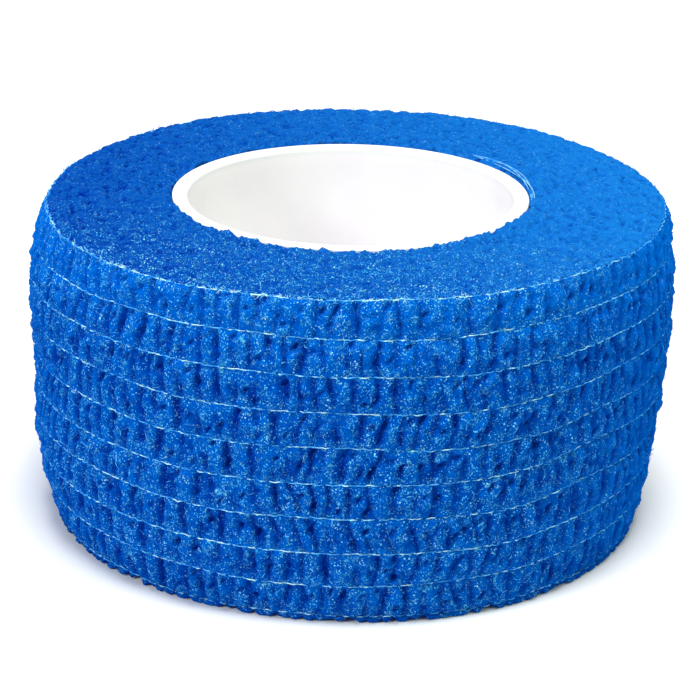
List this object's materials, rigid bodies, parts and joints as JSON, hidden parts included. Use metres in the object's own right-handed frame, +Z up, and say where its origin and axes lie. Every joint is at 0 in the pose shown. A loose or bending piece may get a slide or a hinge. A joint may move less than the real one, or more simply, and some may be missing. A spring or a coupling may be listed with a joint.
{
  "type": "cohesive bandage roll",
  "caption": "Self-adherent crepe bandage wound on a white tube, its puckered cloth drawn in by rows of elastic threads.",
  "frame": {"origin": "centre of the end that the roll stands on", "axes": "+Z up along the roll's own axis, +Y to the far side of the picture's view"},
  "size_m": [0.0503, 0.0497, 0.0252],
  "materials": {
    "crepe_cloth": "matte crepe non-woven",
    "elastic_thread": "fine covered elastic yarn",
    "white_tube": "smooth satin"
  },
  "bodies": {
    "root": {"bandage_roll": "crepe_cloth", "core": "white_tube"}
  },
  "joints": []
}
